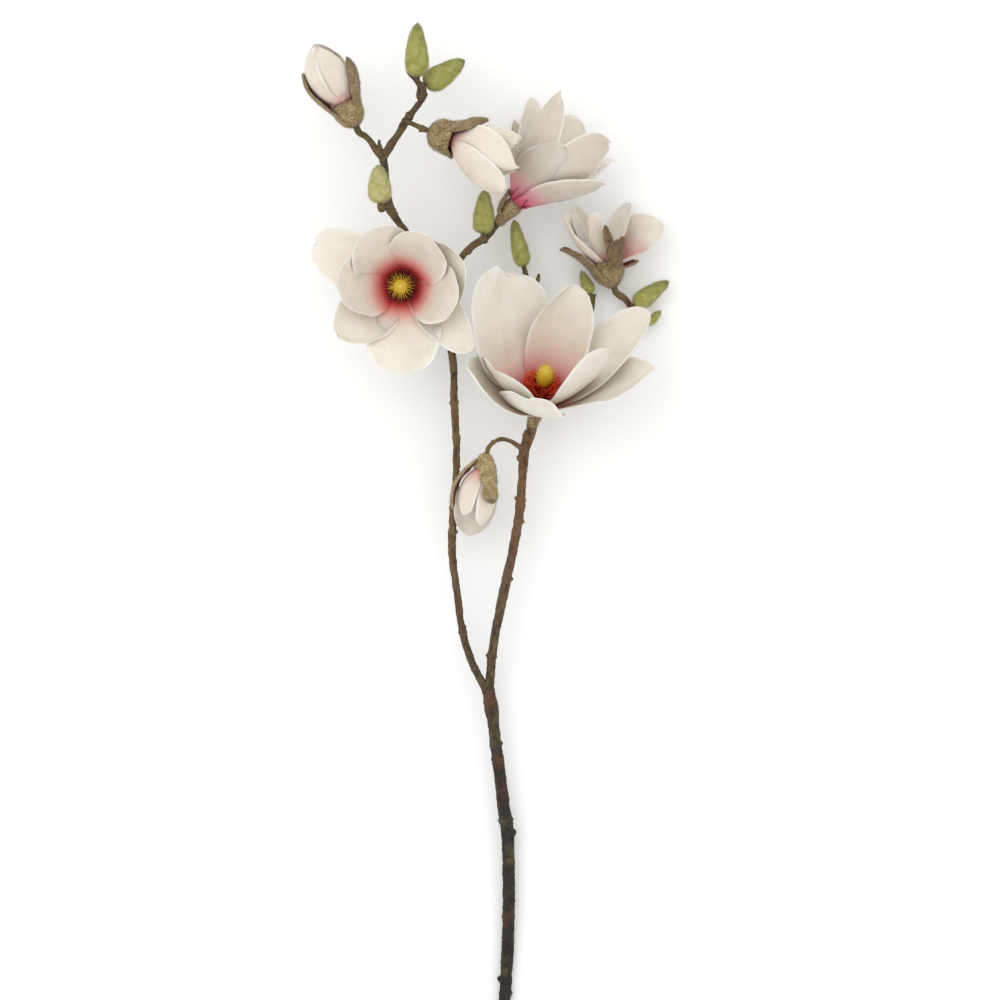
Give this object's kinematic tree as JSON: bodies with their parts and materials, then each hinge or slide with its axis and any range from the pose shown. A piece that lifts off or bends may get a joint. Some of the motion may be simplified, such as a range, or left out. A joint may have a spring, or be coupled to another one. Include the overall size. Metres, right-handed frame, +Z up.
{
  "type": "magnolia branch",
  "caption": "Cut forked branch lying on a surface, with open white blooms, half-open flower buds in furry scales and green leaf buds.",
  "frame": {"origin": "middle of the branch's footprint, on the surface that it lies on", "axes": "+Y along the branch from its cut end to its top, +Z up from the surface, +X to the right when seen from above with the cut end nearest"},
  "size_m": [0.2917, 0.792, 0.1169],
  "materials": {
    "bark": "matt rough bark",
    "petal": "soft satin petal",
    "fur_brown": "short brown fur",
    "bud_green": "short green fur",
    "stamen": "satin red",
    "pistil": "matt yellow"
  },
  "bodies": {
    "root": {"bark_stem": "bark", "face_bloom_calyx": "fur_brown", "face_bloom_petals": "petal", "face_bloom_stamens": "stamen", "face_bloom_pistil": "pistil", "back_bloom_calyx": "fur_brown", "back_bloom_petals": "petal", "back_bloom_stamens": "stamen", "back_bloom_pistil": "pistil", "side_bloom_calyx": "fur_brown", "side_bloom_petals": "petal", "side_bloom_stamens": "stamen", "side_bloom_pistil": "pistil", "top_left_bud_calyx": "fur_brown", "top_left_bud_petals": "petal", "middle_bud_calyx": "fur_brown", "middle_bud_petals": "petal", "hanging_bud_calyx": "fur_brown", "hanging_bud_petals": "petal", "cluster_bud_calyx": "fur_brown", "cluster_bud_petals": "petal", "leaf_bud_top": "bud_green", "leaf_bud_top_right": "bud_green", "leaf_bud_fork": "bud_green", "leaf_bud_side": "bud_green", "leaf_bud_back": "bud_green", "leaf_bud_low": "bud_green", "leaf_bud_right": "bud_green", "leaf_bud_right_small": "bud_green"}
  },
  "joints": []
}
